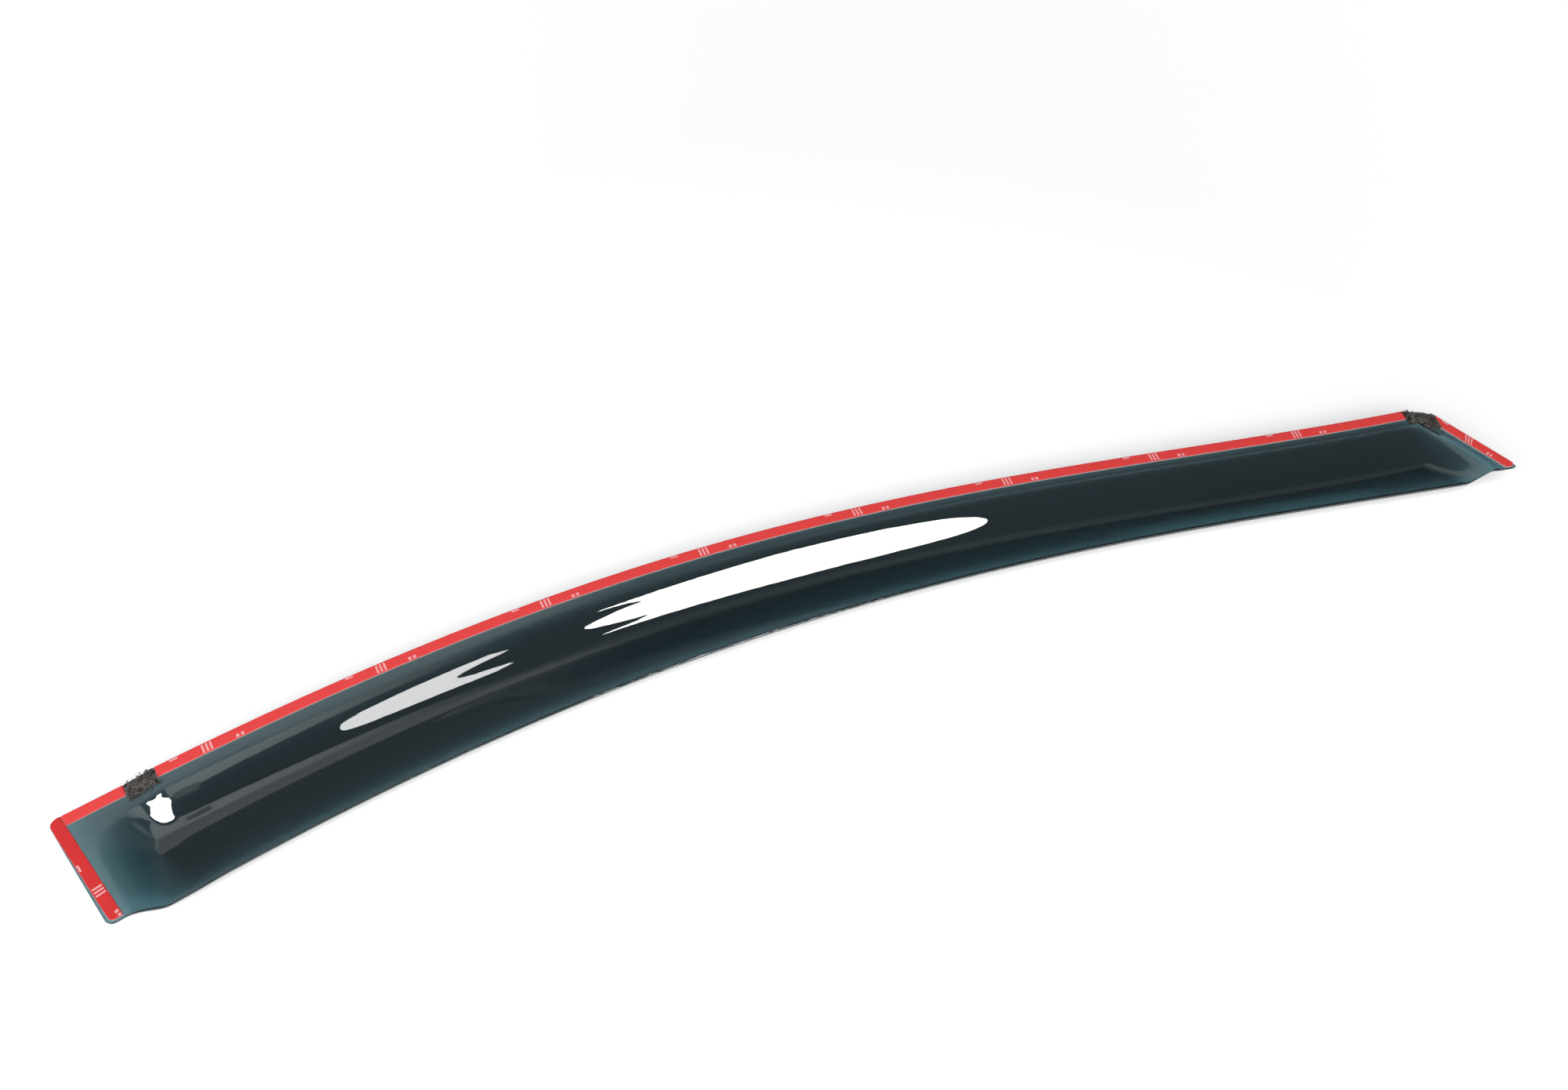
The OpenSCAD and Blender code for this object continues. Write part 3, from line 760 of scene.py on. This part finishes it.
# Scale, detail and roughness of each fine noise, and the tones along it
CUT_EDGE_GRAIN, TAPE_CORE_GRAIN = (900.0, 3.0), (2600.0, 4.0, 0.6)
CUT_EDGE_TONES = [(0.35, (0.075, 0.105, 0.115)), (0.65, (0.13, 0.17, 0.18))]
TAPE_CORE_TONES = [(0.3, (0.30, 0.28, 0.28)), (0.7, (0.52, 0.48, 0.48))]


def grained_material(name, grain, tones, roughness, depth):
    """Matt material whose tones and bumps follow one fine noise."""
    net = new_look(name)
    height = net.noise(*grain)
    surface = {
        "Base Color": net.ramp(height, tones),
        "Roughness": roughness,
        "Normal": net.bump(height, depth),
    }
    return net.shown(net.add("ShaderNodeBsdfPrincipled", surface))


def cut_edge_material():
    """Satin cut edge of the sheet, which looks grey because it scatters the light."""
    name = "smoked_acrylic_cut_edge"
    return grained_material(name, CUT_EDGE_GRAIN, CUT_EDGE_TONES, 0.4, 0.03 * MM)


def tape_core_material():
    """Pale closed-cell foam of the tape's cut edge."""
    return grained_material("tape_core_foam", TAPE_CORE_GRAIN, TAPE_CORE_TONES, 0.8, 0.05 * MM)


LINER_REDS = (0.78, 0.062, 0.058), (0.70, 0.045, 0.045)
# The front end run has the same film as the others, painted darker and deeper as shade
FRONT_END_SHADED_REDS = (0.63, 0.030, 0.030), (0.56, 0.022, 0.022)
MARK_PALE = (0.90, 0.55, 0.58)
# Scale and detail of the film's noises: tone, wear of the marks, gloss and dimples
MOTTLE, WEAR, GLOSS, DIMPLES = (60.0, 4.0), (1400.0, 2.0), (90.0, 3.0), (220.0, 3.0)
DIMPLE_DEPTH = 0.06 * MM
# Part of each noise in the tone, the wear and the roughness, and the least of the last two
MOTTLE_PART, WEAR_PART, GLOSS_PART = 0.5, 1.3, 0.2
WEAR_LEAST, GLOSS_LEAST = 0.05, 0.36
# Marks on the liner: pitch, soft sides, and each one's reach along in mm and across in shares
MARK_PITCH, MARK_SOFT_ALONG, MARK_SOFT_ACROSS = 106 * MM, 0.25 * MM, 0.04
BAR_ACROSS, DOT_ACROSS, DASH_ACROSS = (0.08, 0.92), (0.58, 0.92), (0.06, 0.26)
MARKS = [
    ((-3.1, -1.7), BAR_ACROSS),
    ((-0.7, 0.7), BAR_ACROSS),
    ((1.7, 3.1), BAR_ACROSS),
    ((16.6, 18.6), DOT_ACROSS),
    ((19.6, 21.6), DOT_ACROSS),
    ((-21.5, -16.5), DASH_ACROSS),
]
FIRST_MARKS = {"top_main": 30 * MM, "top_front": 60 * MM, "front_end": 58 * MM, "rear_end": 27 * MM}


def liner_marks(net, first_mark):
    """1 on the pale marks and 0 beside them."""
    uv = net.along()
    u = net.math("SUBTRACT", uv["X"], first_mark - MARK_PITCH / 2)
    u = net.math("SUBTRACT", net.math("FLOORED_MODULO", u, MARK_PITCH), MARK_PITCH / 2)
    marks = 0.0
    for (start, end), across in MARKS:
        along = net.band(u, start * MM, end * MM, MARK_SOFT_ALONG)
        mark = net.math("MULTIPLY", along, net.band(uv["Y"], *across, MARK_SOFT_ACROSS))
        marks = net.math("MAXIMUM", marks, mark)
    return marks


def liner_material(name, first_mark, red, deep):
    """Red film with worn pale marks at each pitch: three bars across, two dots and a dash."""
    net = new_look(name)
    film = net.mix(net.math("MULTIPLY", net.noise(*MOTTLE), MOTTLE_PART), red, deep)
    worn = net.math("MULTIPLY_ADD", net.noise(*WEAR), WEAR_PART, WEAR_LEAST, clamp=True)
    marked = net.math("MULTIPLY", liner_marks(net, first_mark), worn)
    surface = {
        "Base Color": net.mix(marked, film, MARK_PALE),
        "Roughness": net.math("MULTIPLY_ADD", net.noise(*GLOSS), GLOSS_PART, GLOSS_LEAST),
        "IOR": 1.45,
        "Specular IOR Level": 0.35,
        "Normal": net.bump(net.noise(*DIMPLES), DIMPLE_DEPTH),
    }
    return net.shown(net.add("ShaderNodeBsdfPrincipled", surface))


FOAM_TONES_WITH_PIT_SHADE = [
    (0.40, (0.004, 0.0035, 0.0035)),
    (0.54, (0.012, 0.010, 0.009)),
    (0.68, (0.05, 0.045, 0.04)),
]
STRAND_TONES = [(0.35, (0.040, 0.036, 0.032)), (0.65, (0.16, 0.145, 0.13))]
# Scale, detail and roughness of the foam's noises, the part of each in its depth, and its bumps; low
# depth, where the bumps have their pits, is painted darker as shade
CELLS, PATCHES, CELL_DEPTH = (900.0, 4.0, 0.7), (260.0, 2.0), 0.2 * MM
CELLS_PART, PATCHES_PART = 0.7, 0.3


def pad_material():
    """Black-brown coarse foam, painted darker in the pits of its bumps as shade, with paler curled
    strands on it.
    """
    net = new_look("black_open_foam")
    cells, patches = net.noise(*CELLS), net.noise(*PATCHES)
    # Depth mixes the bumps' cells, whose pits get painted shade, with patches of random tone
    depth = net.math("MULTIPLY_ADD", cells, CELLS_PART, net.math("MULTIPLY", patches, PATCHES_PART))
    body, strand = net.ramp(depth, FOAM_TONES_WITH_PIT_SHADE), net.ramp(patches, STRAND_TONES)
    surface = {
        "Base Color": net.mix(net.along()["X"], body, strand),
        "Roughness": 0.85,
        "Sheen Weight": 0.15,
        "Normal": net.bump(cells, CELL_DEPTH),
    }
    return net.shown(net.add("ShaderNodeBsdfPrincipled", surface))


# The part
build_shell()
tape_core = tape_core_material()
RUNS = {
    "top_main": top_main_sides(),
    "top_front": top_front_sides(),
    "front_end": front_end_sides(),
    "rear_end": rear_end_sides(),
}
for number, (run, sides) in enumerate(RUNS.items()):
    liner = build_liner(run, *sides, seed=10 * number)
    # The front end run's red is painted darker, as painted shade
    reds = FRONT_END_SHADED_REDS if run == "front_end" else LINER_REDS
    paint(liner, liner_material("red_film_" + run, FIRST_MARKS[run], *reds))
    tape = nodes["tape_" + run]
    paint(tape, tape_core)
black_foam = pad_material()
paint(build_pad("front_foam_pad", *front_pad_sides(), seed=3), black_foam)
paint(build_pad("rear_foam_pad", *rear_pad_sides(), seed=4), black_foam)


# Stage: floor, world and lamps
def flat_sheet(name, points):
    mesh = bpy.data.meshes.new(name)
    mesh.from_pydata(points, [], [tuple(range(len(points)))])
    return add_to_scene(name, mesh)


FLOOR_SIZE, FLOOR_GAP, FLOOR_WHITE = 9.0, 0.05 * MM, 0.93
# Light that the floor adds for the camera, and the distances from the part over which it grows
LIFT_NEAR, LIFT_FAR = 0.27, 1.2
LIFT_FROM, LIFT_TO = 0.5, 3.0


def floor_material():
    """White paper, brought to full white where a view ray meets it directly."""
    net = new_look("white_floor")
    plain = net.add("ShaderNodeBsdfDiffuse", {"Color": grey(FLOOR_WHITE)})
    away = net.add("ShaderNodeVectorMath", {0: net.place()}, operation="LENGTH").outputs["Value"]
    lift = net.between(away, LIFT_FROM, LIFT_TO, LIFT_NEAR, LIFT_FAR, "LINEAR")
    seen = net.add("ShaderNodeLightPath").outputs["Is Camera Ray"]
    strength = net.math("MULTIPLY", seen, lift)
    glow = net.add("ShaderNodeEmission", {"Color": grey(1.0), "Strength": strength})
    return net.shown(net.add_shaders(plain, glow))


def build_floor():
    h, z = FLOOR_SIZE / 2, cad_box[0].z - FLOOR_GAP
    floor = flat_sheet("floor", [(-h, -h, z), (h, -h, z), (h, h, z), (-h, h, z)])
    paint(floor, floor_material())


# Grey of the world by height, the y over which its front turns into its back, and the back's share
WORLD_TONES = [(0.0, 0.30), (0.15, 0.20), (0.60, 0.22), (0.97, 0.50)]
FRONT_UNTIL, BACK_FROM = -0.3, 0.2
BACK_LIT, BACK_MIRRORED = 0.03, 1.0


def build_world():
    """White for the eye, and grey for light and mirrors; its back lights less than mirrors show."""
    world = bpy.data.worlds.new("studio")
    bpy.context.scene.world = world
    net = Nodes(world, "ShaderNodeOutputWorld")
    way = net.split(net.place("Generated"))
    path = net.add("ShaderNodeLightPath").outputs
    tone = net.ramp(way["Z"], [(height, (shade,) * 3) for height, shade in WORLD_TONES])
    back = net.between(path["Is Glossy Ray"], 0.0, 1.0, BACK_LIT, BACK_MIRRORED, "LINEAR")
    share = net.between(way["Y"], FRONT_UNTIL, BACK_FROM, 1.0, back)
    studio = net.add("ShaderNodeBackground", {"Color": tone, "Strength": share})
    white = net.add("ShaderNodeBackground", {"Color": grey(1.0)})
    net.shown(net.mix_shaders(path["Is Camera Ray"], studio, white))


# Outlines of the bright window panes in front of the part, as (x, z) in metres
PANE_Y = -1.6
WHITE_LIGHT, GREY_LIGHT = 34.0, 17.0
RIGHT_PANE = [
    (0.185, 0.27), (0.188, 0.285), (0.205, 0.315), (0.225, 0.36), (0.2405, 0.385), (0.234, 0.47),
    (0.212, 0.54), (0.205, 0.57), (0.235, 0.60), (0.30, 0.67), (0.38, 0.76), (0.47, 0.69),
    (0.53, 0.53), (0.568, 0.32), (0.30, 0.28),
]
LEFT_PANE = [
    (-0.035, 0.27), (-0.03, 0.30), (-0.01, 0.345), (0.03, 0.385), (0.07, 0.41), (0.11, 0.43),
    (0.127, 0.36), (0.12, 0.335), (0.075, 0.275),
]
SMALL_PANE = [
    (-0.36, 0.26), (-0.33, 0.36), (-0.345, 0.46), (-0.42, 0.50), (-0.54, 0.66), (-0.65, 1.10),
    (-0.77, 1.10), (-0.63, 0.60), (-0.42, 0.26),
]
# Pale wall beside the window: brightest at its left side, gone at its right side
PALE_WALL = [
    (-0.30, 0.42), (-0.18, 0.48), (-0.12, 0.56), (-0.04, 0.66), (0.03, 0.74), (0.09, 0.90),
    (0.20, 1.90), (0.20, 2.40), (-0.50, 2.40), (-0.42, 0.95),
]
WALL_LIGHT, WALL_FULL, WALL_GONE = 2.2, -0.20, 0.25
# Pale ceiling over the front half of the part, as (x, y) in metres: bright at its left side and
# dim at its right side
CEILING = [(-1.2, -0.9), (0.05, -0.9), (0.05, 0.85), (-1.2, 0.85)]
CEILING_Z, CEILING_LIGHT, CEILING_DIM = 1.0, 1.15, 0.42
CEILING_FULL, CEILING_END = -0.25, 0.0
# Grey card close to the rear end, so that its inner corner mirrors no window
REAR_CARD = [(0.32, 0.0), (0.50, 0.0), (0.50, 0.16), (0.32, 0.16)]
REAR_CARD_Y, REAR_CARD_LIGHT = -0.12, 0.2
# Pale card close to the front end, which hides the right pane from its inner corner
FRONT_CARD = [(-0.404, 0.036), (-0.387, 0.036), (-0.387, 0.055), (-0.404, 0.055)]
FRONT_CARD_Y, FRONT_CARD_LIGHT = -0.10, 0.9


def upright(outline, y=PANE_Y):
    return [(x, y, z) for x, z in outline]


def build_pane(name, points, strength, fade=None):
    """Glowing sheet that only mirrors show; fade gives two x and the strength at the second."""
    pane = flat_sheet(name, points)
    net = new_look(name)
    if fade:
        start, end, last = fade
        strength = net.between(net.split(net.place())["X"], start, end, strength, last)
    glow = net.add("ShaderNodeEmission", {"Color": grey(1.0), "Strength": strength})
    paint(pane, net.shown(glow))
    pane.visible_camera = pane.visible_diffuse = False
    pane.visible_transmission = pane.visible_shadow = False


TOP_PLACE, TOP_SIZE, TOP_LIGHT = (-0.25, -1.2, 2.1), 2.0, 3.6
RING_REACH, RING_HEIGHT, RING_SIZE = 2.1, 1.1, 1.4
# Name, heading in degrees round from the front, and brightness
RING = [
    ("front_low", 15, 0.6),
    ("right_low", 105, 0.15),
    ("left_low", 285, 3.4),
    ("left_front_low", 335, 1.4),
]


def build_lamp(name, place, size, radiance):
    """Square soft lamp that faces the part with the given brightness; mirrors don't show it."""
    data = bpy.data.lights.new(name, "AREA")
    data.shape, data.size = "SQUARE", size
    data.energy = radiance * math.pi * size * size
    lamp = add_to_scene(name, data)
    lamp.location = place
    lamp.rotation_euler = (-Vector(place)).to_track_quat("-Z", "Y").to_euler()
    lamp.visible_camera = lamp.visible_glossy = lamp.visible_transmission = False


def build_lamps():
    """One soft lamp above, and a low ring that lights the floor under the raised edges."""
    build_lamp("top_soft", TOP_PLACE, TOP_SIZE, TOP_LIGHT)
    for name, heading, light in RING:
        turn = math.radians(heading)
        place = (RING_REACH * math.sin(turn), -RING_REACH * math.cos(turn), RING_HEIGHT)
        build_lamp(name, place, RING_SIZE, light)


build_floor()
build_world()
build_pane("right_pane", upright(RIGHT_PANE), WHITE_LIGHT)
build_pane("left_pane", upright(LEFT_PANE), GREY_LIGHT)
build_pane("small_pane", upright(SMALL_PANE), WHITE_LIGHT)
build_pane("rear_card", upright(REAR_CARD, REAR_CARD_Y), REAR_CARD_LIGHT)
build_pane("front_card", upright(FRONT_CARD, FRONT_CARD_Y), FRONT_CARD_LIGHT)
build_pane("pale_wall", upright(PALE_WALL), WALL_LIGHT, (WALL_FULL, WALL_GONE, 0.0))
ceiling = [(x, y, CEILING_Z) for x, y in CEILING]
build_pane("pale_ceiling", ceiling, CEILING_LIGHT, (CEILING_FULL, CEILING_END, CEILING_DIM))
build_lamps()

# Camera: the photograph's place in the plan's own frame, its turns and its view
CAMERA_PLACE = np.array([-173.43, -378.06, 718.08]) * MM
CAMERA_YAW, CAMERA_PITCH, CAMERA_ROLL = map(math.radians, (-17.927, 55.833, 2.0815))
SENSOR_WIDTH, LENS, CLIP_NEAR, CLIP_FAR = 36.0, 29.554, 0.01, 50


def build_camera():
    data = bpy.data.cameras.new("camera")
    data.sensor_width, data.lens = SENSOR_WIDTH, LENS
    data.clip_start, data.clip_end = CLIP_NEAR, CLIP_FAR
    camera = add_to_scene("camera", data)
    turned = (
        Matrix.Rotation(CAMERA_YAW, 4, "Z")
        @ Matrix.Rotation(math.pi / 2 - CAMERA_PITCH, 4, "X")
        @ Matrix.Rotation(CAMERA_ROLL, 4, "Z")
    )
    camera.matrix_world = Matrix.Translation(CAMERA_PLACE + SHIFT) @ turned
    bpy.context.scene.camera = camera


build_camera()
bpy.context.scene.view_settings.view_transform = "Standard"
